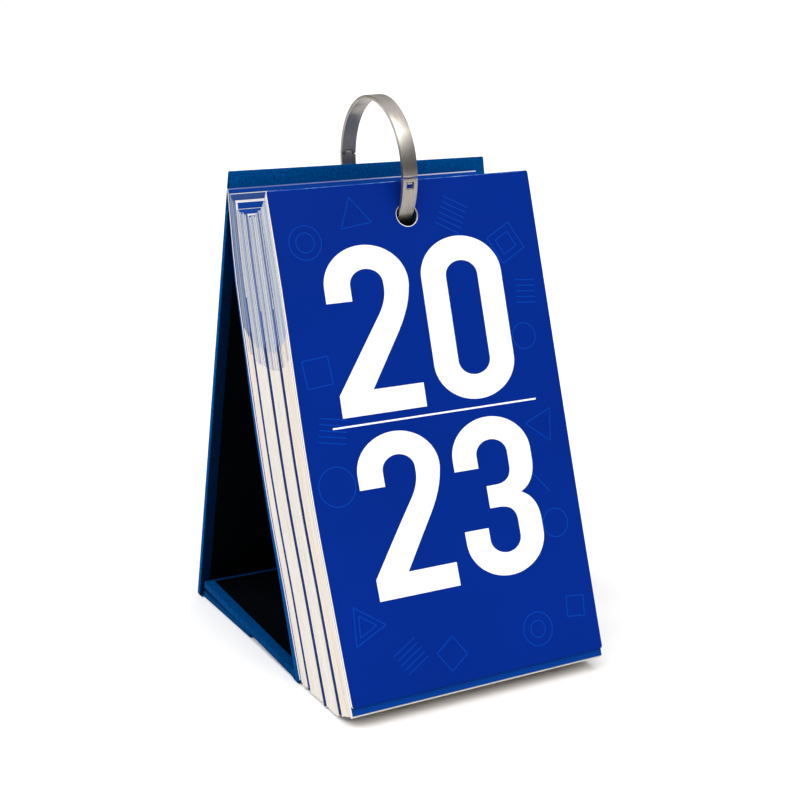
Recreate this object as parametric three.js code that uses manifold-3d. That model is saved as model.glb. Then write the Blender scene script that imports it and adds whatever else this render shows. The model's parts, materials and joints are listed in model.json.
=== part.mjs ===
// Page-a-day desk calendar: a cloth-covered board easel with thick pads of
// leaves hanging in front of it on one hinged flat steel ring.
// Millimetres. +X right, the cover faces -Y, +Z up. Origin: middle of the
// footprint of the whole object, on the table.
import * as THREE from "three";
import Module from "manifold-3d";
import { mergeVertices } from "three/addons/utils/BufferGeometryUtils.js";

const wasm = await Module();
wasm.setup();

// ---------------------------------------------------------------- sizes
const Y_SHIFT = 24.7; // these two move the object so that the origin is under its middle
const X_SHIFT = 0.6;
const GAP = 0.3; // air between pieces that touch

// leaves
const LEAF_W = 120;
const LEAF_H = 206;
const LEAF_X = -3.3; // the leaves hang a little left of the stand's middle
const LEAF_TILT = 19.44; // lean back from upright, degrees
const LEAF_ROLL = 0.42; // they hang slightly askew on the one ring, degrees
const LEAF_TOP = [-36.36, 204.75]; // y, z of the cover's top edge
const HOLE_S = 14.3; // hole centre below a leaf's top edge
const HOLE_X = -3.3;
const R_COVER_HOLE = 4.9;
const R_LEAF_HOLE = 5.25;

// ring
const RING_C = [-3.2, -14.5, 207.1];
const RING_RO = 30.4;
const RING_T = 1.75;
const RING_W = 6.6;
const RING_LEAN = -2.0; // degrees, about Y
const RING_YAW = -1.8; // degrees, about Z
const HINGE_DEG = 7; // pin's place round the ring, from +Y towards +Z
const LATCH_DEG = 181.2; // where the two halves meet at the front

// stand
const STAND_W = 124;
const PANEL_T = 3.2;
const CLOTH_T = 0.45;
const TURN_IN = 8;
const SIDE_IN = 4.6;
const APEX = [8.0, 205.8];
const REAR_FOOT = [56.8, 0.4];
const BASE_HINGE = [-52.3, 3.6];
const BASE_END_Y = 48.5;
const BASE_RISE = 3.0; // degrees the base slopes up to the back
const FLAP_T = 2.7;
const FLAP_TIP_Y = -3.0;

const rad = (d) => (d * Math.PI) / 180;

// ------------------------------------------------------------ mesh tools
function toSolid(geometry) {
  const g = geometry.clone();
  for (const k of ["normal", "uv"]) if (g.getAttribute(k)) g.deleteAttribute(k);
  const m = mergeVertices(g, 1e-5);
  const build = (tris) =>
    new wasm.Manifold(
      new wasm.Mesh({
        numProp: 3,
        vertProperties: new Float32Array(m.attributes.position.array),
        triVerts: new Uint32Array(tris),
      }),
    );
  const s = build(m.index.array);
  if (s.volume() > 0) return s;
  return build(Array.from(m.index.array).reverse()); // faces out
}
function toGeometry(solid) {
  const m = solid.getMesh();
  const pos = new Float32Array(m.numVert * 3);
  for (let i = 0; i < m.numVert; i++)
    for (let k = 0; k < 3; k++)
      pos[3 * i + k] = m.vertProperties[i * m.numProp + k];
  const g = new THREE.BufferGeometry();
  g.setAttribute("position", new THREE.BufferAttribute(pos, 3));
  g.setIndex(new THREE.BufferAttribute(new Uint32Array(m.triVerts), 1));
  g.computeVertexNormals();
  return g;
}
// A closed slab between two grids of points of the same size.
// front and rear are functions (i, j) -> [x, y, z], with i along x and j down.
function slab(ni, nj, front, rear) {
  const pos = [];
  for (const f of [front, rear])
    for (let j = 0; j < nj; j++) for (let i = 0; i < ni; i++) pos.push(...f(i, j));
  const N = ni * nj;
  const idx = [];
  const quad = (a, b, c, d) => idx.push(a, b, c, a, c, d);
  for (let j = 0; j + 1 < nj; j++)
    for (let i = 0; i + 1 < ni; i++) {
      const a = j * ni + i;
      quad(a, a + ni, a + ni + 1, a + 1); // front, seen from -Y
      quad(N + a, N + a + 1, N + a + ni + 1, N + a + ni);
    }
  for (let i = 0; i + 1 < ni; i++) {
    quad(i, i + 1, N + i + 1, N + i); // top edge
    const b = (nj - 1) * ni + i;
    quad(b + 1, b, N + b, N + b + 1); // bottom edge
  }
  for (let j = 0; j + 1 < nj; j++) {
    const a = j * ni;
    quad(a + ni, a, N + a, N + a + ni); // left edge
    const b = j * ni + ni - 1;
    quad(b, b + ni, N + b + ni, N + b); // right edge
  }
  const g = new THREE.BufferGeometry();
  g.setAttribute("position", new THREE.BufferAttribute(new Float32Array(pos), 3));
  g.setIndex(idx);
  return toSolid(g);
}
const spread = (a, b, n) =>
  Array.from({ length: n }, (_, k) => a + ((b - a) * k) / (n - 1));
// Smooth curve through a table of [s, value].
function curve(table) {
  const n = table.length;
  const m = table.map((_, k) => {
    const a = table[Math.max(0, k - 1)];
    const b = table[Math.min(n - 1, k + 1)];
    return (b[1] - a[1]) / (b[0] - a[0]);
  });
  return (s) => {
    if (s <= table[0][0]) return table[0][1] + m[0] * (s - table[0][0]);
    if (s >= table[n - 1][0])
      return table[n - 1][1] + m[n - 1] * (s - table[n - 1][0]);
    let k = 0;
    while (s > table[k + 1][0]) k++;
    const h = table[k + 1][0] - table[k][0];
    const t = (s - table[k][0]) / h;
    const t2 = t * t;
    const t3 = t2 * t;
    return (
      (2 * t3 - 3 * t2 + 1) * table[k][1] +
      (t3 - 2 * t2 + t) * h * m[k] +
      (-2 * t3 + 3 * t2) * table[k + 1][1] +
      (t3 - t2) * h * m[k + 1]
    );
  };
}
function cylinderBetween(a, b, r, sides = 24) {
  const A = new THREE.Vector3(...a);
  const B = new THREE.Vector3(...b);
  const d = B.clone().sub(A);
  const g = new THREE.CylinderGeometry(r, r, d.length(), sides);
  g.applyQuaternion(
    new THREE.Quaternion().setFromUnitVectors(
      new THREE.Vector3(0, 1, 0),
      d.clone().normalize(),
    ),
  );
  const c = A.clone().add(B).multiplyScalar(0.5);
  g.translate(c.x, c.y, c.z);
  return toSolid(g);
}

// ------------------------------------------------- the leaves' own frame
// s runs down the leaf from the cover's top edge, n runs back from its face.
const UP = [Math.sin(rad(LEAF_TILT)), Math.cos(rad(LEAF_TILT))];
const BACK = [Math.cos(rad(LEAF_TILT)), -Math.sin(rad(LEAF_TILT))];
const place = (x, s, n) => [
  x,
  LEAF_TOP[0] - s * UP[0] + n * BACK[0] + Y_SHIFT,
  LEAF_TOP[1] - s * UP[1] + n * BACK[1],
];
const roll = rad(LEAF_ROLL);
const placeLeaf = (x, s, n) =>
  place(
    LEAF_X + x * Math.cos(roll) + (s - HOLE_S) * Math.sin(roll),
    HOLE_S - x * Math.sin(roll) + (s - HOLE_S) * Math.cos(roll),
    n,
  );

// The stack has sagged: its left side bows back in the middle, its right side
// is almost straight. Face of the cover and thickness of the stack, each at
// the left and the right edge.
const faceL = curve([[-8, 2.8], [0, 2.7], [40, 2.5], [70, 3.5], [108, 4.7], [135, 4.1], [158, 2.4], [182, 0.8], [212, -1.5]]);
const faceR = curve([[-8, -1.9], [0, -1.8], [60, -0.7], [108, 0.1], [160, 0.7], [212, 0.9]]);
const thickL = curve([[-10, 38.4], [0, 40.2], [8, 42.0], [28, 45.2], [54, 46.3], [108, 46.5], [160, 46.6], [212, 48.2]]);
const thickR = curve([[-10, 42.2], [8, 43.6], [28, 45.1], [54, 46.0], [108, 46.4], [212, 46.5]]);
const FULL = 46.5;
function depth(x, s, u) {
  const w = x / LEAF_W + 0.5;
  const l = faceL(s) + (u / FULL) * thickL(s);
  const r = faceR(s) + (u / FULL) * thickR(s);
  return l + (r - l) * w;
}

// Where the ring's band crosses a leaf that lies n behind the cover's plane.
const ringN =
  (RING_C[1] - LEAF_TOP[0]) * BACK[0] + (RING_C[2] - LEAF_TOP[1]) * BACK[1];
const ringS = -(
  (RING_C[1] - LEAF_TOP[0]) * UP[0] + (RING_C[2] - LEAF_TOP[1]) * UP[1]
);
const ringMid = RING_RO - RING_T / 2;
function holeS(n) {
  const d = n - ringN;
  const s = ringS + Math.sqrt(Math.max(0, ringMid * ringMid - d * d));
  const k = Math.min(1, Math.max(0, (n - 15) / 13));
  return s + 1.4 * (1 - k) - 0.9 * k; // front leaves hang on the band, back ones ride higher
}
const nMiddle = (u) => depth(0, 15, u);
const topS = (u) => holeS(nMiddle(u)) - HOLE_S;

// The longest leaves would reach the table: their edges slump back to just above it.
const lowestS = (u) => (LEAF_TOP[1] - 0.3 + BACK[1] * depth(0, 207, u)) / UP[1] - 0.65;

// A tunnel of round holes that follows the ring through the leaves.
function tunnel(radius, u0, u1) {
  const sides = 28;
  const us = [];
  for (let u = u0; u < u1; u += 1.6) us.push(u);
  us.push(u1);
  const ni = sides;
  const pos = [];
  for (const u of us) {
    const n = nMiddle(Math.min(46.5, Math.max(0, u)));
    const nn = n + (u < 0 ? u : u > 46.5 ? u - 46.5 : 0);
    const sc = holeS(n);
    for (let i = 0; i < ni; i++) {
      const a = (i / ni) * 2 * Math.PI;
      pos.push(
        ...placeLeaf(
          HOLE_X - LEAF_X + radius * Math.cos(a),
          sc + radius * Math.sin(a),
          nn,
        ),
      );
    }
  }
  const c0 = pos.length / 3;
  const mean = (k) => {
    const m = [0, 0, 0];
    for (let i = 0; i < ni; i++)
      for (let c = 0; c < 3; c++) m[c] += pos[3 * (k * ni + i) + c] / ni;
    return m;
  };
  pos.push(...mean(0), ...mean(us.length - 1));
  const idx = [];
  for (let k = 0; k + 1 < us.length; k++)
    for (let i = 0; i < ni; i++) {
      const a = k * ni + i;
      const b = k * ni + ((i + 1) % ni);
      idx.push(a, b + ni, b, a, a + ni, b + ni);
    }
  for (let i = 0; i < ni; i++) {
    const j = (i + 1) % ni;
    idx.push(c0, i, j);
    const L = (us.length - 1) * ni;
    idx.push(c0 + 1, L + j, L + i);
  }
  const g = new THREE.BufferGeometry();
  g.setAttribute("position", new THREE.BufferAttribute(new Float32Array(pos), 3));
  g.setIndex(idx);
  const s = toSolid(g);
  return s;
}

function leafBlock({ u0, u1, rise = 0, drop = 0, low = 999, hole = R_LEAF_HOLE, w = LEAF_W }) {
  const xs = spread(-w / 2, w / 2, 3);
  const NJ = 15;
  const face = (u) => {
    const t = topS(u) - rise;
    const b = Math.min(topS(u) + LEAF_H + drop, lowestS(u), low);
    const ss = spread(t, b, NJ);
    return (i, j) => placeLeaf(xs[i], ss[j], depth(xs[i], ss[j], u));
  };
  const span = u1 - u0;
  const parts = span > 4 ? 3 : 1;
  let out = null;
  for (let k = 0; k < parts; k++) {
    const a = u0 + (span * k) / parts;
    const b = u0 + (span * (k + 1)) / parts;
    const piece = slab(3, NJ, face(a), face(b));
    out = out ? out.add(piece) : piece;
  }
  return out.subtract(tunnel(hole, u0 - 1.2, u1 + 1.2));
}

// ------------------------------------------------------------ the stand
// Front panel: a curved slab in the leaves' frame, just behind the stack.
const panelL = curve([[-16, 40.1], [-6, 42.4], [8, 45.2], [28, 48.6], [54, 49.6], [79, 51.2], [104, 51.6], [130, 51.1], [155, 49.8], [181, 48.5], [203, 48.4]]);
const panelR = curve([[-16, 40.1], [-6, 41.8], [8, 43.2], [28, 44.7], [54, 46.1], [79, 46.9], [104, 47.5], [130, 47.9], [155, 48.2], [181, 48.5], [203, 48.4]]);
const panelN = (x, s) => {
  const w = x / STAND_W + 0.5;
  return panelL(s) * (1 - w) + panelR(s) * w;
};
function frontSlab(s0, s1, inset, m0, m1) {
  const xs = spread(-STAND_W / 2 + inset, STAND_W / 2 - inset, 3);
  const inner = spread(-12, 192, 16).filter((s) => s > s0 + 1 && s < s1 - 1);
  const ss = [s0, ...inner, s1];
  const at = (m) => (i, j) => place(xs[i], ss[j], panelN(xs[i], ss[j]) + m);
  return slab(3, ss.length, at(m0), at(m1));
}
// A flat panel given by a corner, a direction and an inward normal in YZ.
function flatSlab(o, d, n, t0, t1, inset, m0, m1, halfWidth = STAND_W / 2) {
  const xs = [-halfWidth + inset, halfWidth - inset];
  const ts = [t0, t1];
  const at = (m) => (i, j) => [
    xs[i],
    o[0] + d[0] * ts[j] + n[0] * m + Y_SHIFT,
    o[1] + d[1] * ts[j] + n[1] * m,
  ];
  // a right-handed slab whichever way the normal points
  const flip = d[0] * n[1] - d[1] * n[0] > 0;
  return flip ? slab(2, 2, at(m0), at(m1)) : slab(2, 2, at(m1), at(m0));
}

// Cloth turned over the board's edges, the board, and the lining inside.
function covered(make, s0, s1, thick, endTurn = TURN_IN) {
  const shell = make(s0, s1, 0, 0, thick)
    .subtract(make(s0 + CLOTH_T, s1 - CLOTH_T, CLOTH_T, CLOTH_T, thick - 0.35))
    .subtract(make(s0 + TURN_IN, s1 - endTurn, SIDE_IN, thick / 2, thick + 1));
  const c = CLOTH_T + GAP;
  const board = make(s0 + c, s1 - c, c, c, thick - 0.35 - GAP);
  const l = TURN_IN + GAP;
  const lining = make(s0 + l, s1 - endTurn - GAP, SIDE_IN + GAP, thick - 0.35, thick);
  return { shell, board, lining };
}

const apexY = APEX[0];
const apexZ = APEX[1];
// rear panel frame
const rearLen = Math.hypot(REAR_FOOT[0] - apexY, REAR_FOOT[1] - apexZ);
const rearD = [(REAR_FOOT[0] - apexY) / rearLen, (REAR_FOOT[1] - apexZ) / rearLen];
const rearN = [rearD[1], -rearD[0]];
const makeRear = (t0, t1, inset, m0, m1) =>
  flatSlab(APEX, rearD, rearN, t0, t1, inset, m0, m1);
// base frame: its top face passes through the fold line
const baseD = [Math.cos(rad(BASE_RISE)), Math.sin(rad(BASE_RISE))];
const baseN = [-baseD[1], baseD[0]]; // up
const baseO = [BASE_HINGE[0] - baseN[0] * PANEL_T, BASE_HINGE[1] - baseN[1] * PANEL_T];
const baseLen = (BASE_END_Y - BASE_HINGE[0]) / baseD[0];
const makeBase = (t0, t1, inset, m0, m1) =>
  flatSlab(baseO, baseD, baseN, t0, t1, inset, m0, m1, STAND_W / 2 - 0.4);
// flap frame: flat on the table, hinged at the foot of the rear panel
const FLAP_HINGE = [52.3, FLAP_T];
const flapLen = FLAP_HINGE[0] - FLAP_TIP_Y;
const makeFlap = (t0, t1, inset, m0, m1) =>
  flatSlab([FLAP_HINGE[0], 0], [-1, 0], [0, 1], t0, t1, inset, m0, m1, STAND_W / 2 - 1.2);

// slots through which the ring passes
const slotX = HOLE_X;
function ringSlot(o, d, n, t0, t1, w, m0, m1) {
  const r = w / 2;
  const p = (t, m) => [slotX, o[0] + d[0] * t + n[0] * m + Y_SHIFT, o[1] + d[1] * t + n[1] * m];
  const mid = flatSlab(o, d, n, t0 + r, t1 - r, 0, m0, m1, r).translate(slotX, 0, 0);
  return mid
    .add(cylinderBetween(p(t0 + r, m0), p(t0 + r, m1), r, 32))
    .add(cylinderBetween(p(t1 - r, m0), p(t1 - r, m1), r, 32));
}

const front = covered(frontSlab, 2, 198.8, PANEL_T);
// thin cloth above the board, up to the fold at the apex
const LEG_T = 0.5;
const legFront = frontSlab(-15.2, 2.3, 0, 0, LEG_T);
// The band slants through the panel: its slot is open to the board's top
// edge behind the cloth.
const panelSlotO = [LEAF_TOP[0] + 44 * BACK[0], LEAF_TOP[1] + 44 * BACK[1]];
const panelSlotD = [-UP[0], -UP[1]];
const frontCut = ringSlot(panelSlotO, panelSlotD, BACK, 1.5, 14, 10.4, -6, 10).add(
  ringSlot(panelSlotO, panelSlotD, BACK, -10, 14, 10.4, 1.6, 10),
);
front.shell = front.shell.add(legFront).subtract(frontCut);
const frontCutWide = ringSlot(panelSlotO, panelSlotD, BACK, -10, 14.3, 11.0, -6, 10);
front.board = front.board.subtract(frontCutWide);
front.lining = front.lining.subtract(frontCutWide);

const rear = covered(makeRear, 16.5, rearLen - 0.5, PANEL_T);
const legRear = flatSlab(APEX, rearD, rearN, 0.3, 16.8, 0, 0, LEG_T);
const rearCut = ringSlot(APEX, rearD, rearN, 3.8, 25.5, 10.4, -3, 7);
rear.shell = rear.shell.add(legRear).subtract(rearCut);
const rearCutWide = ringSlot(APEX, rearD, rearN, 3.5, 25.8, 11.0, -3, 7);
rear.board = rear.board.subtract(rearCutWide);
rear.lining = rear.lining.subtract(rearCutWide);

const base = covered(makeBase, GAP, baseLen, PANEL_T, 1.6);
// its cloth is underneath and its lining on top
const flap = covered(makeFlap, GAP, flapLen, FLAP_T);

// two hidden magnets in the base and two steel discs in the flap
const discX = 38;
const discY = 18;
function disc(x, y, z0, z1, r) {
  return cylinderBetween([x, y + Y_SHIFT, z0], [x, y + Y_SHIFT, z1], r, 24);
}
const baseAt = (y, m) => {
  const t = (y - baseO[0]) / baseD[0];
  return baseO[1] + baseD[1] * t + baseN[1] * m;
};
const magnets = [-discX, discX].map((x) => {
  const z = baseAt(discY, CLOTH_T + GAP + 0.15);
  return disc(x, discY, z, z + 1.2, 5);
});
for (const x of [-discX, discX]) {
  const z = baseAt(discY, 0);
  base.board = base.board.subtract(disc(x, discY, z - 1, z + 5, 5.4));
  flap.board = flap.board.subtract(disc(x, discY, -1, 5, 5.4));
}
const plates = [-discX, discX].map((x) =>
  disc(x, discY, CLOTH_T + GAP, CLOTH_T + GAP + 1.0, 5),
);

// ------------------------------------------------------------ the ring
// Built lying in the YZ plane round the origin, then leaned and turned.
const RING_RI = RING_RO - RING_T;
function arc(r0, r1, x0, x1, a0, a1, step = 6) {
  const n = Math.max(2, Math.ceil(Math.abs(a1 - a0) / step) + 1);
  const as = spread(rad(a0), rad(a1), n);
  const pos = [];
  for (const a of as)
    for (const [r, x] of [[r0, x0], [r1, x0], [r1, x1], [r0, x1]])
      pos.push(x, r * Math.cos(a), r * Math.sin(a));
  const idx = [];
  const quad = (a, b, c, d) => idx.push(a, b, c, a, c, d);
  for (let k = 0; k + 1 < n; k++)
    for (let q = 0; q < 4; q++) {
      const a = 4 * k + q;
      const b = 4 * k + ((q + 1) % 4);
      quad(a, b, b + 4, a + 4);
    }
  quad(0, 3, 2, 1);
  const L = 4 * (n - 1);
  quad(L, L + 1, L + 2, L + 3);
  const g = new THREE.BufferGeometry();
  g.setAttribute("position", new THREE.BufferAttribute(new Float32Array(pos), 3));
  g.setIndex(idx);
  let s = toSolid(g);
  return s;
}
const deg = (mm) => (mm / ringMid) * (180 / Math.PI); // arc length to degrees
const hw = RING_W / 2;
const RM = ringMid;
const pinA = rad(HINGE_DEG);
const pinP = [RM * Math.cos(pinA), RM * Math.sin(pinA)];
const bar = (x0, x1, p, r, sides = 20) => cylinderBetween([x0, p[0], p[1]], [x1, p[0], p[1]], r, sides);
const TONGUE = 1.35; // half width of the middle knuckle
const KNUCKLE = RING_T / 2; // the knuckles are rolled round the pin
const CLEAR = 1.15; // where the other half's shoulder starts

// upper half: two side knuckles round the pin
let upper = arc(RING_RI, RING_RO, -hw, hw, HINGE_DEG + deg(CLEAR), LATCH_DEG - deg(GAP / 2) - 0.2);
for (const sgn of [-1, 1]) {
  const x0 = sgn < 0 ? -hw : TONGUE + GAP;
  const x1 = sgn < 0 ? -TONGUE - GAP : hw;
  upper = upper.add(arc(RING_RI, RING_RO, x0, x1, HINGE_DEG, HINGE_DEG + deg(CLEAR) + 2, 2));
  upper = upper.add(bar(x0, x1, pinP, KNUCKLE, 36));
}
upper = upper.subtract(bar(-hw - 1, hw + 1, pinP, 0.62));
// spring tongue with a catch, sliding behind the lower half at the latch
const TW = 1.5;
upper = upper.add(arc(RING_RI, RING_RI + 0.55, -TW, TW, LATCH_DEG - deg(5), LATCH_DEG + deg(3.0), 3));
upper = upper.add(arc(RING_RI + 0.2, RING_RI + 1.25, -1.1, 1.1, LATCH_DEG + deg(2.1), LATCH_DEG + deg(2.9), 2));

// lower half: middle knuckle, and a window for the catch
let lower = arc(RING_RI, RING_RO, -hw, hw, LATCH_DEG + deg(GAP / 2) + 0.2, 360 + HINGE_DEG - deg(CLEAR));
lower = lower.add(arc(RING_RI, RING_RO, -TONGUE, TONGUE, 360 + HINGE_DEG - deg(CLEAR) - 2, 360 + HINGE_DEG, 2));
lower = lower.add(bar(-TONGUE, TONGUE, pinP, KNUCKLE, 36));
lower = lower.subtract(bar(-TONGUE - 1, TONGUE + 1, pinP, 0.62));
lower = lower.subtract(arc(RING_RI - 1, RING_RI + 0.55 + GAP, -TW - GAP, TW + GAP, LATCH_DEG - deg(1), LATCH_DEG + deg(3.6), 2));
lower = lower.subtract(arc(RING_RI - 1, RING_RO + 1, -1.65, 1.65, LATCH_DEG + deg(1.9), LATCH_DEG + deg(4.9), 2));
const pin = bar(-hw + 0.1, hw - 0.1, pinP, 0.32, 16);

// ------------------------------------------------------------ the parts
const paper = (c) => new THREE.MeshStandardMaterial({ color: c, roughness: 0.85, metalness: 0 });
const M = {
  cloth: paper(0x0a3f86),
  board: paper(0x8b8478),
  lining: paper(0x0b0c10),
  page: paper(0xece6da),
  card: paper(0x123a86),
  cover: new THREE.MeshStandardMaterial({ color: 0x002a82, roughness: 0.45, metalness: 0 }),
  steel: new THREE.MeshStandardMaterial({ color: 0xb3ada3, roughness: 0.35, metalness: 1 }),
  magnet: new THREE.MeshStandardMaterial({ color: 0x9a9da2, roughness: 0.3, metalness: 1 }),
};
const root = new THREE.Group();
const calendar = new THREE.Group();
calendar.position.x = X_SHIFT;
root.add(calendar);
function add(name, solid, material, parent = calendar) {
  const mesh = new THREE.Mesh(toGeometry(solid), material);
  mesh.name = name;
  parent.add(mesh);
  return mesh;
}

add("front_panel_cloth", front.shell, M.cloth);
add("front_panel_board", front.board, M.board);
add("front_panel_lining", front.lining, M.lining);
add("rear_panel_cloth", rear.shell, M.cloth);
add("rear_panel_board", rear.board, M.board);
add("rear_panel_lining", rear.lining, M.lining);
add("base_cloth", base.shell, M.cloth);
add("base_board", base.board, M.board);
add("base_lining", base.lining, M.lining);
add("flap_cloth", flap.shell, M.cloth);
add("flap_board", flap.board, M.board);
add("flap_lining", flap.lining, M.lining);
add("base_magnet_left", magnets[0], M.magnet);
add("base_magnet_right", magnets[1], M.magnet);
add("flap_plate_left", plates[0], M.steel);
add("flap_plate_right", plates[1], M.steel);

add("front_cover", leafBlock({ u0: 0, u1: 1.1, hole: R_COVER_HOLE }), M.cover);
add("title_sheet", leafBlock({ u0: 1.4, u1: 1.9, rise: -0.4, drop: 2.4, hole: R_COVER_HOLE }), M.card);
add("pad_quarter_1", leafBlock({ u0: 2.2, u1: 11.6, rise: -0.3, drop: 2.6, low: 210.4 }), M.page);
add("divider_1", leafBlock({ u0: 11.9, u1: 13.4, rise: 0.2, drop: -2.6 }), M.card);
add("pad_quarter_2", leafBlock({ u0: 13.7, u1: 24.5, drop: -2 }), M.page);
add("divider_2", leafBlock({ u0: 24.8, u1: 26.3, rise: 0.2, drop: -0.4 }), M.card);
add("pad_quarter_3", leafBlock({ u0: 26.6, u1: 37.7 }), M.page);
add("divider_3", leafBlock({ u0: 38.0, u1: 39.1, rise: 2.4, drop: -0.4, low: 201.2 }), M.card);
add("pad_quarter_4", leafBlock({ u0: 39.4, u1: 45.2, rise: 1.2, drop: -0.6, low: 200.6 }), M.page);
add("back_cover", leafBlock({ u0: 45.5, u1: 46.5, rise: 1.7, drop: -1 }), M.card);

const ring = new THREE.Group();
ring.position.set(RING_C[0], RING_C[1] + Y_SHIFT, RING_C[2]);
ring.rotation.set(0, rad(RING_LEAN), rad(RING_YAW), "ZYX");
calendar.add(ring);
add("ring_lower_half", lower, M.steel, ring);
add("ring_upper_half", upper, M.steel, ring);
add("ring_hinge_pin", pin, M.steel, ring);

export default root;
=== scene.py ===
"""Page-a-day desk calendar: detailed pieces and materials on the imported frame.
Lengths in this file are millimetres until they are placed, then metres."""
import json
import math
import random

import bmesh
import bpy
from mathutils import Matrix, Vector
from mathutils.geometry import delaunay_2d_cdt


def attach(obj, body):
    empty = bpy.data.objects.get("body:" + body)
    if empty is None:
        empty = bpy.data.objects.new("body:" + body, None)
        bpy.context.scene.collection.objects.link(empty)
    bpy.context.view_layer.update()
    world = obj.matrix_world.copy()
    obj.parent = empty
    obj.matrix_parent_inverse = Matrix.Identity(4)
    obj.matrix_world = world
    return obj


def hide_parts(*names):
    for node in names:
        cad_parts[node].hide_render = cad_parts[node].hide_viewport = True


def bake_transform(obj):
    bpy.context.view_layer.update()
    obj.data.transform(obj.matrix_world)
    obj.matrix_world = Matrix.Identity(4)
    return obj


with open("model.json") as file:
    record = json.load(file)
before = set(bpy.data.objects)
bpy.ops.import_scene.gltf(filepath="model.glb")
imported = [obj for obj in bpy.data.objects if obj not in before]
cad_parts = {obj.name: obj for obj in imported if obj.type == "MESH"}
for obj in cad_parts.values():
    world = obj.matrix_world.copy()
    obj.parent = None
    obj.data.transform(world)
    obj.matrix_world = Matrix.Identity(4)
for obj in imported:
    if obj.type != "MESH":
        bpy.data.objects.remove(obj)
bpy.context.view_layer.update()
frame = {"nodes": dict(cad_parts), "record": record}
NODES = frame["nodes"]
rng = random.Random(7)

X_SHIFT = 0.6
Y_SHIFT = 24.7

# ------------------------------------------------------------------ camera
cam_data = bpy.data.cameras.new("camera")
cam = bpy.data.objects.new("camera", cam_data)
bpy.context.scene.collection.objects.link(cam)
cam_data.sensor_width = 36.0
cam_data.lens = 72.57
cam_data.clip_start = 0.01
cam_data.clip_end = 20.0
az, el, turn = math.radians(-28.65), math.radians(15.19), math.radians(0.38)
fwd = -Vector((math.sin(az) * math.cos(el), -math.cos(az) * math.cos(el), math.sin(el)))
right = Vector((math.cos(az), math.sin(az), 0.0))
up = right.cross(fwd)
right2 = right * math.cos(turn) + up * math.sin(turn)
up2 = up * math.cos(turn) - right * math.sin(turn)
m = Matrix((right2, up2, -fwd)).transposed().to_4x4()
m.translation = Vector((-321.80 + X_SHIFT, -618.69 + Y_SHIFT, 290.82)) / 1000
cam.matrix_world = m
bpy.context.scene.camera = cam

# ------------------------------------------------------------ light, floor
bpy.context.scene.view_settings.view_transform = "Standard"
world = bpy.data.worlds.new("studio")
bpy.context.scene.world = world
world.use_nodes = True
wt = world.node_tree
# a white studio wall behind everything, softer as a light than it looks
wt.nodes["Background"].inputs["Color"].default_value = (1, 1, 1, 1)
ray = wt.nodes.new("ShaderNodeLightPath")
way = wt.nodes.new("ShaderNodeTexCoord")
cut = wt.nodes.new("ShaderNodeSeparateXYZ")
wt.links.new(way.outputs["Generated"], cut.inputs[0])
dome = wt.nodes.new("ShaderNodeValToRGB")
wt.links.new(cut.outputs[2], dome.inputs[0])
dome.color_ramp.elements[0].position = 0.16
dome.color_ramp.elements[0].color = (0.10, 0.10, 0.10, 1)
dome.color_ramp.elements[1].position = 0.62
dome.color_ramp.elements[1].color = (0.72, 0.72, 0.72, 1)
pick = wt.nodes.new("ShaderNodeMix")
pick.data_type = "RGBA"
wt.links.new(ray.outputs["Is Camera Ray"], pick.inputs[0])
wt.links.new(dome.outputs[0], pick.inputs[6])
pick.inputs[7].default_value = (1.02, 1.02, 1.02, 1)
wt.links.new(pick.outputs[2], wt.nodes["Background"].inputs["Color"])


def soft_sun(name, toward, power, spread):
    d = bpy.data.lights.new(name, "SUN")
    d.energy = power
    d.angle = math.radians(spread)
    o = bpy.data.objects.new(name, d)
    bpy.context.scene.collection.objects.link(o)
    o.rotation_euler = Vector(toward).to_track_quat("Z", "Y").to_euler()
    o.location = Vector(toward) * 2
    return o


soft_sun("left_key", (-0.66, 0.44, 0.60), 1.5, 34)
soft_sun("front_key", (-0.12, -0.42, 0.88), 2.35, 56)

floor_me = bpy.data.meshes.new("floor")
bm = bmesh.new()
bmesh.ops.create_grid(bm, x_segments=2, y_segments=2, size=3.0)
bm.to_mesh(floor_me)
bm.free()
floor = bpy.data.objects.new("floor", floor_me)
bpy.context.scene.collection.objects.link(floor)
floor.location.z = -0.0002


# --------------------------------------------------------------- materials
def lin(r, g, b):
    def c(v):
        v /= 255
        return v / 12.92 if v <= 0.04045 else ((v + 0.055) / 1.055) ** 2.4

    return (c(r), c(g), c(b), 1.0)


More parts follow.
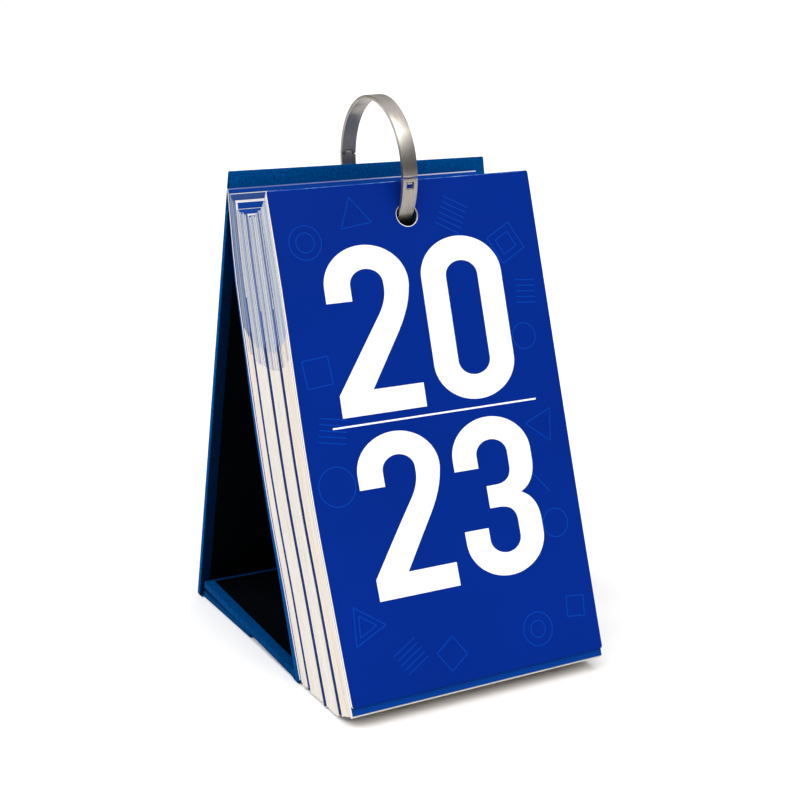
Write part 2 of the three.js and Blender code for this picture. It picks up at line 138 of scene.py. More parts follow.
class Mat:
    """A principled material with a short way to add nodes."""

    def __init__(self, name, rough=0.6, metal=0.0, spec=0.5):
        self.m = bpy.data.materials.new(name)
        self.m.use_nodes = True
        self.t = self.m.node_tree
        self.b = self.t.nodes["Principled BSDF"]
        self.b.inputs["Roughness"].default_value = rough
        self.b.inputs["Metallic"].default_value = metal
        self.b.inputs["Specular IOR Level"].default_value = spec

    def put(self, sock, value):
        if isinstance(value, bpy.types.NodeSocket):
            self.t.links.new(value, sock)
        else:
            sock.default_value = value

    def node(self, kind, **inputs):
        n = self.t.nodes.new(kind)
        for k, v in inputs.items():
            self.put(n.inputs[k.replace("_", " ")], v)
        return n

    def math(self, op, a, b=0.0, c=0.0, clamp=False):
        n = self.t.nodes.new("ShaderNodeMath")
        n.operation = op
        n.use_clamp = clamp
        for i, v in enumerate((a, b, c)):
            self.put(n.inputs[i], v)
        return n.outputs[0]

    def obj(self):
        return self.t.nodes.new("ShaderNodeTexCoord").outputs["Object"]

    def uv(self, name):
        n = self.t.nodes.new("ShaderNodeUVMap")
        n.uv_map = name
        s = self.t.nodes.new("ShaderNodeSeparateXYZ")
        self.t.links.new(n.outputs[0], s.inputs[0])
        return s.outputs[0], s.outputs[1]

    def sep(self, v):
        s = self.t.nodes.new("ShaderNodeSeparateXYZ")
        self.t.links.new(v, s.inputs[0])
        return s.outputs

    def vec(self, x=0.0, y=0.0, z=0.0):
        n = self.t.nodes.new("ShaderNodeCombineXYZ")
        for i, v in enumerate((x, y, z)):
            self.put(n.inputs[i], v)
        return n.outputs[0]

    def dot(self, v, d):
        n = self.t.nodes.new("ShaderNodeVectorMath")
        n.operation = "DOT_PRODUCT"
        self.put(n.inputs[0], v)
        n.inputs[1].default_value = d
        return n.outputs["Value"]

    def noise(self, vector, scale, detail=2.0, rough=0.5, dist=0.0):
        n = self.node("ShaderNodeTexNoise", Vector=vector, Scale=scale, Detail=detail, Roughness=rough, Distortion=dist)
        return n.outputs["Fac"]

    def ramp(self, fac, stops):
        n = self.t.nodes.new("ShaderNodeValToRGB")
        self.put(n.inputs[0], fac)
        r = n.color_ramp
        while len(r.elements) < len(stops):
            r.elements.new(0.5)
        for e, (p, c) in zip(r.elements, stops):
            e.position = p
            e.color = c if len(c) == 4 else (*c, 1)
        return n.outputs[0]

    def mix(self, fac, a, b):
        n = self.t.nodes.new("ShaderNodeMix")
        n.data_type = "RGBA"
        self.put(n.inputs[0], fac)
        self.put(n.inputs[6], a)
        self.put(n.inputs[7], b)
        return n.outputs[2]

    def color(self, v):
        self.put(self.b.inputs["Base Color"], v)
        return self

    def rough(self, v):
        self.put(self.b.inputs["Roughness"], v)
        return self

    def bump(self, height, strength, distance):
        n = self.node("ShaderNodeBump", Height=height, Strength=strength, Distance=distance)
        self.t.links.new(n.outputs[0], self.b.inputs["Normal"])
        return self


def book_cloth(name, down, tone=1.0, inner=None, grain=1.0):
    """Fine satin book cloth; down is the direction of its warp threads. With inner, the side that faces into the stand
    is painted darker, as painted shade.
    """
    k = Mat(name, rough=0.62, spec=0.04)
    k.b.inputs["IOR"].default_value = 1.12
    o = k.obj()
    xyz = k.sep(o)
    warp = k.dot(o, down)
    pitch = 0.00036
    a = k.math("SINE", k.math("MULTIPLY", xyz[0], 2 * math.pi / pitch))
    b = k.math("SINE", k.math("MULTIPLY", warp, 2 * math.pi / pitch))
    weave = k.math("MULTIPLY", a, b)
    slub = k.noise(k.vec(k.math("MULTIPLY", xyz[0], 3000.0 * grain), k.math("MULTIPLY", warp, 900.0 * grain), k.math("MULTIPLY", xyz[1], 500.0)), 1.0, 3.0, 0.6)
    slub2 = k.noise(k.vec(k.math("MULTIPLY", xyz[0], 800.0 * grain), k.math("MULTIPLY", warp, 3000.0 * grain), 3.0), 1.0, 3.0, 0.6)
    fibre = k.noise(o, 3200.0 * grain, 3.0, 0.6)
    cloud = k.noise(o, 30.0, 4.0)
    v = k.math("ADD", k.math("MULTIPLY", slub, 0.36), k.math("MULTIPLY_ADD", slub2, 0.3, k.math("MULTIPLY", fibre, 0.34)))
    dark = [c * tone for c in lin(0, 42, 92)[:3]]
    mid = [c * tone for c in lin(0, 66, 128)[:3]]
    lite = [c * tone for c in lin(2, 90, 160)[:3]]
    base = k.ramp(v, [(0.38, dark), (0.5, mid), (0.62, lite)])
    worn = k.ramp(cloud, [(0.35, (0.93, 0.93, 0.93)), (0.7, (1.05, 1.05, 1.05))])
    n = k.t.nodes.new("ShaderNodeMix")
    n.data_type = "RGBA"
    n.blend_type = "MULTIPLY"
    n.inputs[0].default_value = 1.0
    k.put(n.inputs[6], base)
    k.put(n.inputs[7], worn)
    shade = n.outputs[2]
    if inner:
        # painted shade: the side that faces into the stand is drawn darker
        m = k.math("SUBTRACT", k.dot(o, inner[0]), inner[1])
        shade = k.mix(k.math("MULTIPLY_ADD", m, 1400.0, -3.2, True), shade, k.ramp(v, [(0.36, lin(0, 14, 36)), (0.64, lin(0, 34, 72))]))
    k.color(shade)
    k.b.inputs["Sheen Weight"].default_value = 0.1
    k.b.inputs["Sheen Roughness"].default_value = 0.4
    k.b.inputs["Sheen Tint"].default_value = (0.0, 0.25, 0.8, 1.0)
    k.rough(k.math("MULTIPLY_ADD", cloud, 0.2, 0.5))
    k.bump(k.math("ADD", k.math("MULTIPLY", weave, 0.35), v), 0.45, 0.00012)
    return k.m


UPV = (0.0, 0.3328, 0.9430)
cloth_front = book_cloth("book_cloth_front", UPV)
rear_len = math.hypot(56.8 - 8.0, 0.4 - 205.8)
rear_in = (0.0, (0.4 - 205.8) / rear_len, -(56.8 - 8.0) / rear_len)
rear_at = (rear_in[1] * (8.0 + Y_SHIFT) + rear_in[2] * 205.8) / 1000
# the rear panel's cloth has painted shade on the side that faces into the stand
cloth_rear = book_cloth("book_cloth_rear_inner_shade", (0.0, 0.231, -0.973), inner=(rear_in, rear_at))
# the base, flap and foot folds use the same cloth set darker (tone 0.66), as painted shade
cloth_flat_shaded = book_cloth("book_cloth_base", (0.0, 1.0, 0.0), 0.66, grain=0.6)


def lining_paper():
    k = Mat("lining_paper", rough=0.85, spec=0.03)
    k.b.inputs["IOR"].default_value = 1.12
    o = k.obj()
    grain = k.noise(o, 900.0, 4.0, 0.6)
    cloud = k.noise(o, 18.0, 3.0)
    k.color(k.ramp(k.math("MULTIPLY_ADD", grain, 0.5, k.math("MULTIPLY", cloud, 0.5)), [(0.3, lin(1, 2, 4)), (0.75, lin(7, 10, 14))]))
    k.rough(k.math("MULTIPLY_ADD", grain, 0.25, 0.6))
    k.bump(grain, 0.25, 0.0001)
    return k.m


def grey_board():
    k = Mat("grey_board", rough=0.9, spec=0.2)
    o = k.obj()
    fibre = k.noise(o, 1400.0, 5.0, 0.7)
    k.color(k.ramp(fibre, [(0.3, lin(116, 108, 96)), (0.7, lin(158, 150, 136))]))
    k.bump(fibre, 0.4, 0.0001)
    return k.m


def page_edges(name, seed, u0, u1, warm=0.0, ink=(0.0, 0.0), deep=1.0):
    """Cut edges of a block of leaves: fine lines, whiter outer leaves, and a
    printed head that bleeds off the upper part of every leaf."""
    k = Mat(name, rough=0.85, spec=0.05)
    u, v = k.uv("edge")
    u = k.math("MULTIPLY", u, 100.0)
    v = k.math("MULTIPLY", v, 100.0)
    fine = k.noise(k.vec(k.math("MULTIPLY", u, 1.9), k.math("MULTIPLY", v, 0.012), seed), 1.0, 2.0)
    wide = k.noise(k.vec(k.math("MULTIPLY", u, 0.8), k.math("MULTIPLY", v, 0.02), seed + 5.0), 1.0, 2.0)
    lines = k.math("MULTIPLY_ADD", fine, 0.6, k.math("MULTIPLY", wide, 0.4))
    # the outer quarters show more of the printed ink at their edges
    side = k.math("MULTIPLY", k.math("ABSOLUTE", k.math("SUBTRACT", u, 24.0)), 0.0042)
    inked = k.math("SUBTRACT", lines, side)
    cream = k.ramp(lines, [(0.28, lin(192 - 6 * warm, 182 - 10 * warm, 170 - 16 * warm)), (0.42, lin(212, 206 - 5 * warm, 199 - 12 * warm)), (0.58, lin(219, 215 - 4 * warm, 211 - 9 * warm)), (1.0, lin(226, 223 - 3 * warm, 220 - 6 * warm))])
    tone = lambda r, g, b: lin(r * deep, g * (0.15 + 0.85 * deep), b * (0.4 + 0.6 * deep))
    head = k.ramp(inked, [(0.24, tone(44, 72, 136)), (0.31, tone(122, 138, 172)), (0.38, tone(178, 183, 190)), (0.5, tone(193, 196, 197)), (0.8, tone(203, 205, 205))])
    saw = k.noise(k.vec(k.math("MULTIPLY", u, 0.6), 0.0, seed + 2.0), 1.0, 0.0)
    slow = k.noise(k.vec(k.math("MULTIPLY", u, 1.6), 0.0, seed + 9.0), 1.0, 1.0)
    ragged = k.math("MULTIPLY_ADD", saw, 3.0, k.math("MULTIPLY_ADD", slow, 3.0, 52.5))
    cut = k.math("MULTIPLY", k.math("SUBTRACT", v, ragged), 2.2, 0.0, True)
    # white outer leaves of each block
    near = k.math("MINIMUM", k.math("SUBTRACT", u, u0 + ink[0]), k.math("SUBTRACT", u1 - ink[1], u))
    rim = k.math("MULTIPLY_ADD", near, -4.0, 2.2, True)
    body = k.mix(k.math("MULTIPLY", rim, 0.8), cream, lin(238, 235, 230))
    shade = k.mix(cut, head, body)
    if max(ink) > 0:
        # leaves next to a divider have taken its ink
        shade = k.mix(k.math("LESS_THAN", near, 0.0), shade, k.mix(cut, lin(112, 126, 166), lin(2, 26, 78)))
    k.color(shade)
    k.bump(lines, 0.5, 0.00025)
    return k.m


def paper_face(name, base, head=None, dark=None):
    k = Mat(name, rough=0.78, spec=0.25)
    o = k.obj()
    fibre = k.noise(o, 1600.0, 4.0, 0.6)
    cloud = k.noise(o, 22.0, 2.0)
    f = k.math("MULTIPLY_ADD", fibre, 0.5, k.math("MULTIPLY", cloud, 0.5))
    lo = [c * 0.93 for c in lin(*base)[:3]]
    k.color(k.ramp(f, [(0.3, lo), (0.65, lin(*base))]))
    k.bump(fibre, 0.12, 0.00005)
    return k.m


def laminate(name, base, lift=1.08, rough=0.4):
    """Printed and laminated card: even colour, very slight orange peel."""
    k = Mat(name, rough=rough, spec=0.05)
    o = k.obj()
    peel = k.noise(o, 420.0, 2.0)
    cloud = k.noise(o, 14.0, 3.0)
    c = lin(*base)
    k.color(k.ramp(cloud, [(0.3, [v * 0.95 for v in c[:3]]), (0.7, [min(1, v * lift) for v in c[:3]])]))
    k.rough(k.math("MULTIPLY_ADD", peel, 0.12, rough - 0.06))
    k.bump(peel, 0.06, 0.00006)
    return k.m


def card_core(name, base, top=None):
    """The cut edge of a card: pale core, and ink drawn over the top cut."""
    k = Mat(name, rough=0.8, spec=0.05)
    u, v = k.uv("edge")
    n = k.noise(k.vec(k.math("MULTIPLY", u, 900.0), k.math("MULTIPLY", v, 4.0), 1.0), 1.0, 2.0)
    side = k.ramp(n, [(0.3, [c * 0.88 for c in lin(*base)[:3]]), (0.7, lin(*base))])
    if top:
        w = k.noise(k.obj(), 160.0, 3.0)
        over = k.ramp(w, [(0.4, lin(*top)), (0.6, [0.6 * a + 0.4 * b for a, b in zip(lin(*top)[:3], lin(*base)[:3])]), (0.72, lin(*base))])
        at_top = k.math("MULTIPLY_ADD", v, -1600.0, 2.0, True)
        side = k.mix(at_top, side, over)
    k.color(side)
    k.bump(n, 0.3, 0.00008)
    return k.m


def rubbed(name):
    """Top edge of the cover, where the film has rubbed pale in places."""
    k = Mat(name, rough=0.6, spec=0.05)
    w = k.noise(k.obj(), 120.0, 4.0, 0.6)
    k.color(k.ramp(w, [(0.4, lin(20, 66, 156)), (0.52, lin(60, 102, 182)), (0.62, lin(110, 140, 204)), (0.7, lin(226, 230, 240))]))
    k.bump(w, 0.2, 0.0001)
    return k.m


def banded_edge(name):
    """Edge of the divider cards: grey-blue over the upper part, dark printed blue below."""
    k = Mat(name, rough=0.75, spec=0.15)
    u, v = k.uv("edge")
    n = k.noise(k.vec(k.math("MULTIPLY", u, 300.0), k.math("MULTIPLY", v, 2.5), 1.0), 1.0, 2.0)
    low = k.math("MULTIPLY", k.math("SUBTRACT", v, 0.53), 40.0, 0.0, True)
    k.color(k.mix(low, lin(84, 102, 150), k.ramp(n, [(0.35, lin(0, 14, 56)), (0.6, lin(0, 24, 78)), (0.8, lin(4, 40, 104))])))
    k.bump(n, 0.3, 0.0001)
    return k.m


def brushed(name, centre, base=(186, 180, 172)):
    """Steel strip brushed along its length, round the ring, with a painted highlight on its upper front and painted
    shade near the latch.
    """
    k = Mat(name, rough=0.34, metal=1.0)
    o = k.obj()
    x, y, z = k.sep(o)
    dy = k.math("SUBTRACT", y, centre[1])
    dz = k.math("SUBTRACT", z, centre[2])
    ang = k.math("ARCTAN2", dz, dy)
    rad = k.math("SQRT", k.math("ADD", k.math("MULTIPLY", dy, dy), k.math("MULTIPLY", dz, dz)))
    v = k.vec(k.math("MULTIPLY", x, 5200.0), k.math("MULTIPLY", rad, 5200.0), k.math("MULTIPLY", ang, 5.0))
    lines = k.noise(v, 1.0, 4.0, 0.65)
    cloud = k.noise(o, 90.0, 3.0)
    c = lin(*base)
    steel = k.ramp(lines, [(0.25, [q * 0.62 for q in c[:3]]), (0.55, c), (0.8, [min(1, q * 1.18) for q in c[:3]])])
    # painted highlight and shade: turned makes the steel brighter on the upper front of the ring and darker near the
    # latch
    turned = k.ramp(k.math("DIVIDE", ang, math.pi), [(0.0, (0.8, 0.8, 0.8)), (0.6, (0.86, 0.86, 0.86)), (0.7, (1.2, 1.2, 1.2)), (0.81, (1.25, 1.25, 1.25)), (0.9, (0.62, 0.62, 0.62)), (0.96, (0.4, 0.4, 0.4)), (1.0, (0.42, 0.42, 0.42))])
    n = k.t.nodes.new("ShaderNodeMix")
    n.data_type = "RGBA"
    n.blend_type = "MULTIPLY"
    n.inputs[0].default_value = 1.0
    k.put(n.inputs[6], steel)
    k.put(n.inputs[7], turned)
    k.color(n.outputs[2])
    k.rough(k.math("MULTIPLY_ADD", lines, 0.2, k.math("MULTIPLY_ADD", cloud, 0.1, 0.27)))
    k.bump(lines, 0.22, 0.00006)
    return k.m


def nickel():
    k = Mat("nickel", rough=0.2, metal=1.0)
    n = k.noise(k.obj(), 700.0, 3.0)
    k.color(k.ramp(n, [(0.3, lin(170, 170, 172)), (0.7, lin(214, 214, 216))]))
    k.rough(k.math("MULTIPLY_ADD", n, 0.15, 0.12))
    return k.m


def floor_mat():
    k = Mat("floor", rough=0.9, spec=0.1)
    n = k.noise(k.obj(), 6.0, 3.0)
    k.color(k.ramp(n, [(0.3, (0.83, 0.83, 0.83)), (0.7, (0.85, 0.85, 0.85))]))
    return k.m


floor.data.materials.append(floor_mat())
M_LINING = lining_paper()
M_BOARD = grey_board()
M_COVER = laminate("cover_blue", (0, 38, 130))
M_PRINT = laminate("cover_print_white", (252, 252, 252), 1.0, 0.42)
M_MOTIF = laminate("cover_print_light_blue", (2, 58, 158))
M_CORE = card_core("cover_core", (246, 238, 224), (140, 168, 222))
M_TITLE = laminate("title_blue", (0, 58, 142), 1.05, 0.55)
M_TITLE_DARK = laminate("title_print_dark", (0, 34, 104), 1.05, 0.55)
M_DIV = laminate("divider_blue", (10, 66, 156), 1.05, 0.6)
M_DIV_EDGE = banded_edge("divider_edge")
M_MARGIN = paper_face("card_white_margin", (240, 236, 232))
# near-black walls for the punched holes: painted shade inside the holes
M_HOLE_SHADE = card_core("hole_wall_painted_shade", (34, 38, 46))
M_RUB = rubbed("cover_rubbed_edge")
M_WHITE_EDGE = card_core("white_core", (240, 238, 232))
M_BACK_EDGE = card_core("back_core", (222, 216, 216), (120, 132, 170))
M_PAGE = paper_face("page_face", (240, 236, 226))
M_HEAD = paper_face("page_head_print", (8, 68, 160))
M_HEAD_GREY = paper_face("page_head_print_grey", (50, 82, 148))


def pale_margin():
    """Worn top margin of the back cover, paler towards the right."""
    k = Mat("card_pale_margin", rough=0.78, spec=0.15)
    o = k.obj()
    along = k.math("MULTIPLY_ADD", k.sep(o)[0], 8.3, k.math("MULTIPLY_ADD", k.noise(o, 90.0, 3.0), 0.3, 0.35))
    k.color(k.ramp(along, [(0.05, lin(116, 126, 182)), (0.45, lin(130, 138, 190)), (0.66, lin(196, 194, 218)), (1.0, lin(224, 218, 226))]))
    return k.m


M_PALE = pale_margin()
M_INK = paper_face("page_ink", (30, 44, 84))
RING = (-3.2 + X_SHIFT, -14.5 + Y_SHIFT, 207.1)
M_STEEL = brushed("brushed_steel", [v / 1000 for v in RING])
M_NICKEL = nickel()
# a darker copy of the steel, painted shade for the hinge seats
M_SHADE_STEEL = brushed("shaded_steel", [v / 1000 for v in RING], (74, 70, 64))

# -------------------------------------------------- the leaves' own frame
LEAF_W = 120.0
LEAF_H = 206.0
LEAF_X = -3.3
LEAF_TOP = (-36.36, 204.75)
HOLE_S = 14.3
HOLE_X = -3.3
TILT = math.radians(19.44)
UP = (math.sin(TILT), math.cos(TILT))
BACK = (math.cos(TILT), -math.sin(TILT))
ROLL = math.radians(0.42)
RING_RO, RING_T = 30.4, 1.75
RM = RING_RO - RING_T / 2
FULL = 46.5


def curve(table):
    n = len(table)
    sl = []
    for k in range(n):
        a, b = table[max(0, k - 1)], table[min(n - 1, k + 1)]
        sl.append((b[1] - a[1]) / (b[0] - a[0]))

    def f(s):
        if s <= table[0][0]:
            return table[0][1] + sl[0] * (s - table[0][0])
        if s >= table[-1][0]:
            return table[-1][1] + sl[-1] * (s - table[-1][0])
        k = 0
        while s > table[k + 1][0]:
            k += 1
        h = table[k + 1][0] - table[k][0]
        t = (s - table[k][0]) / h
        t2, t3 = t * t, t * t * t
        return (2 * t3 - 3 * t2 + 1) * table[k][1] + (t3 - 2 * t2 + t) * h * sl[k] + (3 * t2 - 2 * t3) * table[k + 1][1] + (t3 - t2) * h * sl[k + 1]

    return f


face_l = curve([(-8, 2.8), (0, 2.7), (40, 2.5), (70, 3.5), (108, 4.7), (135, 4.1), (158, 2.4), (182, 0.8), (212, -1.5)])
face_r = curve([(-8, -1.9), (0, -1.8), (60, -0.7), (108, 0.1), (160, 0.7), (212, 0.9)])
thick_l = curve([(-10, 38.4), (0, 40.2), (8, 42.0), (28, 45.2), (54, 46.3), (108, 46.5), (160, 46.6), (212, 48.2)])
thick_r = curve([(-10, 42.2), (8, 43.6), (28, 45.1), (54, 46.0), (108, 46.4), (212, 46.5)])


def depth(x, s, u):
    w = x / LEAF_W + 0.5
    l = face_l(s) + (u / FULL) * thick_l(s)
    r = face_r(s) + (u / FULL) * thick_r(s)
    return l + (r - l) * w


def place_leaf(x, s, n):
    x2 = LEAF_X + x * math.cos(ROLL) + (s - HOLE_S) * math.sin(ROLL)
    s2 = HOLE_S - x * math.sin(ROLL) + (s - HOLE_S) * math.cos(ROLL)
    return Vector((
        x2 + X_SHIFT,
        LEAF_TOP[0] - s2 * UP[0] + n * BACK[0] + Y_SHIFT,
        LEAF_TOP[1] - s2 * UP[1] + n * BACK[1],
    )) / 1000


ring_n = (-14.5 - LEAF_TOP[0]) * BACK[0] + (207.1 - LEAF_TOP[1]) * BACK[1]
ring_s = -((-14.5 - LEAF_TOP[0]) * UP[0] + (207.1 - LEAF_TOP[1]) * UP[1])


def hole_s(n):
    s = ring_s + math.sqrt(max(0.0, RM * RM - (n - ring_n) ** 2))
    k = min(1.0, max(0.0, (n - 15) / 13))
    return s + 1.4 * (1 - k) - 0.9 * k


def n_mid(u):
    return depth(0, 15, u)


def top_s(u):
    return hole_s(n_mid(u)) - HOLE_S


def lowest_s(u):
    return (LEAF_TOP[1] - 0.3 + BACK[1] * depth(0, 207, u)) / UP[1] - 0.65


def inside(poly, x, y):
    hit = False
    j = len(poly) - 1
    for i in range(len(poly)):
        xi, yi = poly[i]
        xj, yj = poly[j]
        if (yi > y) != (yj > y) and x < (xj - xi) * (y - yi) / (yj - yi) + xi:
            hit = not hit
        j = i
    return hit


def circle(cx, cy, r, n=28, a0=0.0):
    return [(cx + r * math.cos(a0 + 2 * math.pi * i / n), cy + r * math.sin(a0 + 2 * math.pi * i / n)) for i in range(n)]


def rect_outline(w0, w1, s0, s1, r=0.0, ns=16, nx=3):
    """Outline of a leaf, split where its surface bends, corners rounded."""
    pts = []

    def side(a, b, n):
        for i in range(1, n):
            t = i / n
            pts.append((a[0] + (b[0] - a[0]) * t, a[1] + (b[1] - a[1]) * t))

    corners = [((w0, s0), math.pi), ((w1, s0), 1.5 * math.pi), ((w1, s1), 0.0), ((w0, s1), 0.5 * math.pi)]
    spots = []
    for (cx, cy), a in corners:
        if r:
            ox = cx + (r if cx == w0 else -r)
            oy = cy + (r if cy == s0 else -r)
            arc = [(ox + r * math.cos(a + math.pi / 2 * i / 4), oy + r * math.sin(a + math.pi / 2 * i / 4)) for i in range(5)]
        else:
            arc = [(cx, cy)]
        spots.append(arc)
    for k in range(4):
        pts.extend(spots[k])
        side(spots[k][-1], spots[(k + 1) % 4][0], ns if k % 2 else nx)
    return pts


def densify(p, step=6.0):
    """The same outline with no side longer than step, so that it can bend."""
    out = []
    for i, a in enumerate(p):
        b = p[(i + 1) % len(p)]
        n = max(1, math.ceil(math.hypot(b[0] - a[0], b[1] - a[1]) / step))
        out.extend((a[0] + (b[0] - a[0]) * k / n, a[1] + (b[1] - a[1]) * k / n) for k in range(n))
    return out


def label_at(prints, x, s):
    """Label of a point: a later outline covers an earlier one, a counter clears its own."""
    lab = 0
    for l, p in prints:
        if inside(p, x, s):
            if l > 0:
                lab = l
            elif lab == -l:
                lab = 0
    return lab


def sheet_cdt(outline, hole, prints, grid):
    """Triangles of a leaf with a round hole, split along the prints' outlines.
    prints: list of (label, polygon); a negative label is that label's counter."""
    pts, edges = [], []

    def loop(p):
        b = len(pts)
        pts.extend(p)
        edges.extend((b + i, b + (i + 1) % len(p)) for i in range(len(p)))

    loop(outline)
    loop(hole)
    for _, p in prints:
        loop(densify(p))
    pts.extend(grid)
    out = delaunay_2d_cdt([Vector(p) for p in pts], edges, [], 0, 1e-5)
    vs = [(v.x, v.y) for v in out[0]]
    tris, labels = [], []
    for f in out[2]:
        cx = sum(vs[i][0] for i in f) / len(f)
        cy = sum(vs[i][1] for i in f) / len(f)
        if not inside(outline, cx, cy) or inside(hole, cx, cy):
            continue
        a, b, c = (vs[i] for i in f[:3])
        area2 = (b[0] - a[0]) * (c[1] - a[1]) - (b[1] - a[1]) * (c[0] - a[0])
        if abs(area2) < 1e-7:
            continue
        tris.append(tuple(f) if area2 > 0 else tuple(reversed(f)))
        labels.append(label_at(prints, cx, cy))
    return vs, tris, labels


def leaf_object(name, body, replaced, layers, mats, prints=(), back_prints=(), r=0.0, hole_r=5.25, head=0.0, dark_hole=0):
    """layers: list of dicts u0, u1, top, bottom, x0, x1 (mm). Material 0 is the
    cut edge, 1 the face, 2 and up the prints by label."""
    me = bpy.data.meshes.new(name)
    bm = bmesh.new()
    page = bm.loops.layers.uv.new("page")
    edge = bm.loops.layers.uv.new("edge")
    for li, L in enumerate(layers):
        u0, u1 = L["u0"], L["u1"]
        um = (u0 + u1) / 2
        top, bottom = L["top"], L["bottom"]
        hs = hole_s(n_mid(um))
        outline = rect_outline(L["x0"], L["x1"], top, bottom, r)
        hole = circle(HOLE_X - LEAF_X, hs, hole_r, 30)
        mid = [(x, s) for s in (top + (bottom - top) * (j + 0.5) / 14 for j in range(14)) for x in (-36.0, 0.0, 36.0) if math.hypot(x - (HOLE_X - LEAF_X), s - hs) > hole_r + 3]
        for which, u, shown in (("front", u0, prints if li == 0 else ()), ("rear", u1, back_prints if li == len(layers) - 1 else ())):
            vs, tris, labels = sheet_cdt(outline, hole, [(l, [(px, py + top) for px, py in p]) for l, p in shown], mid)
            verts = [bm.verts.new(place_leaf(x, s, depth(x, s, u))) for x, s in vs]
            for f, lab in zip(tris, labels):
                idx = f if which == "rear" else tuple(reversed(f))
                try:
                    face = bm.faces.new([verts[i] for i in idx])
                except ValueError:
                    continue
                face.material_index = 1 + lab
                if head and lab == 0 and 0 < li < len(layers) - 1 and sum(vs[i][1] for i in f) / 3 - top < head:
                    face.material_index = 2
                for lp, i in zip(face.loops, idx):
                    lp[page].uv = (vs[i][0] / 100, (vs[i][1] - top) / 100)
                    lp[edge].uv = (u / 100, (vs[i][1] - top) / 100)
        # walls between the two faces, along the outline and the hole
        for ring_pts in (outline, hole):
            # a hole's wall takes material dark_hole, the painted shade inside the hole
            wall = dark_hole if dark_hole and ring_pts is hole else 0
            n = len(ring_pts)
            fa, fb = [], []
            for x, s in ring_pts:
                fa.append(bm.verts.new(place_leaf(x, s, depth(x, s, u0))))
                fb.append(bm.verts.new(place_leaf(x, s, depth(x, s, u1))))
            for i in range(n):
                j = (i + 1) % n
                quad = [fa[i], fa[j], fb[j], fb[i]]
                src = [(ring_pts[i], u0), (ring_pts[j], u0), (ring_pts[j], u1), (ring_pts[i], u1)]
                face = bm.faces.new(quad)
                face.material_index = wall
                for lp, ((x, s), u) in zip(face.loops, src):
                    lp[page].uv = (x / 100, (s - top) / 100)
                    lp[edge].uv = (u / 100, (s - top) / 100)
    bmesh.ops.remove_doubles(bm, verts=bm.verts, dist=1e-6)
    bmesh.ops.recalc_face_normals(bm, faces=bm.faces)
    bm.to_mesh(me)
    bm.free()
    for mm in mats:
        me.materials.append(mm)
    o = bpy.data.objects.new(name, me)
    bpy.context.scene.collection.objects.link(o)
    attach(o, body)
    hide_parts(replaced)
    return o


def pad_layers(u0, u1, n, rise=0.0, drop=0.0, low=999.0, jitter=0.28, gap=0.1):
    """Bundles of leaves that stand a little apart at their cut edges."""
    out = []
    du = (u1 - u0) / n
    for i in range(n):
        a, b = u0 + i * du, u0 + (i + 1) * du
        um = (a + b) / 2
        cut = du * gap * rng.random()
        t = top_s(um) - rise
        bt = min(top_s(um) + LEAF_H + drop, lowest_s(um), low)
        out.append({
            "u0": a + (0 if i == 0 else cut), "u1": b,
            "top": t + jitter * (0.2 + rng.random() * 4.2),
            "bottom": bt - jitter * rng.random() * (2.6 if i > 2 or u0 > 3 else 0.3),
            "x0": -LEAF_W / 2 + jitter * rng.random(),
            "x1": LEAF_W / 2 - jitter * rng.random(),
        })
    return out


def card_layer(u0, u1, rise=0.0, drop=0.0, low=999.0):
    um = (u0 + u1) / 2
    return [{"u0": u0, "u1": u1, "top": top_s(um) - rise, "bottom": min(top_s(um) + LEAF_H + drop, lowest_s(um), low), "x0": -LEAF_W / 2, "x1": LEAF_W / 2}]


# ------------------------------------------------------------ plain numerals
def arc_pts(cx, cy, r, a0, a1, n=40):
    return [(cx + r * math.cos(math.radians(a0 + (a1 - a0) * i / n)), cy + r * math.sin(math.radians(a0 + (a1 - a0) * i / n))) for i in range(n + 1)]


def bend(a, b, c, n=12):
    """A smooth bend from a to c, pulled towards b."""
    return [tuple((1 - t) ** 2 * a[i] + 2 * t * (1 - t) * b[i] + t * t * c[i] for i in (0, 1)) for t in (j / n for j in range(n + 1))]


def numeral(d):
    """Outlines of a plain condensed numeral, 34 wide and 72 high, y up."""
    c = 6.7
    if d == "0":
        return [arc_pts(17, 55, 17, 180, 0) + arc_pts(17, 17, 17, 0, -180)], [arc_pts(17, 54.5, c, 180, 0) + arc_pts(17, 17.5, c, 0, -180)]
    if d == "1":
        return [[(10, 0), (22, 0), (22, 72), (13, 72), (11.5, 66), (3, 61.5), (3, 53), (10, 53)]], []
    if d == "2":
        return [[(0, 0), (34, 0), (34, 10.4), (13.6, 10.4)] + bend((26.4, 32.4), (32.45, 42.78), (33.6, 51.4)) + arc_pts(17, 55, 17, -8, 180) + [(0, 48.5), (17 - c, 48.5)] + arc_pts(17, 55, c, 180, 0, 28) + bend((17 + c, 53), (17 + c, 47.3), (20.0, 41.4)) + [(0, 9.5)]], []
    if d == "3":
        top = [(0, 49.5)] + arc_pts(17, 55, 17, 180, 0) + bend((34, 50), (34, 39.5), (27.0, 36.0)) + [(26.4, 35.6), (12.5, 35.6), (12.5, 41.0)] + bend((16.5, 41.05), (17 + c, 41.2), (17 + c, 48.5)) + arc_pts(17, 55, c, 0, 180, 28) + [(17 - c, 49.5)]
        low = [(x, 72 - y + 0.0) for x, y in top]
        return [top, low], []
    if d == "4":
        return [[(19, 0), (30.5, 0), (30.5, 72), (16, 72), (0, 26), (0, 15.5), (19, 15.5)], [(29, 15.5), (34, 15.5), (34, 26), (29, 26)]], [[(11.5, 26), (19, 26), (19, 48)]]
    return [], []


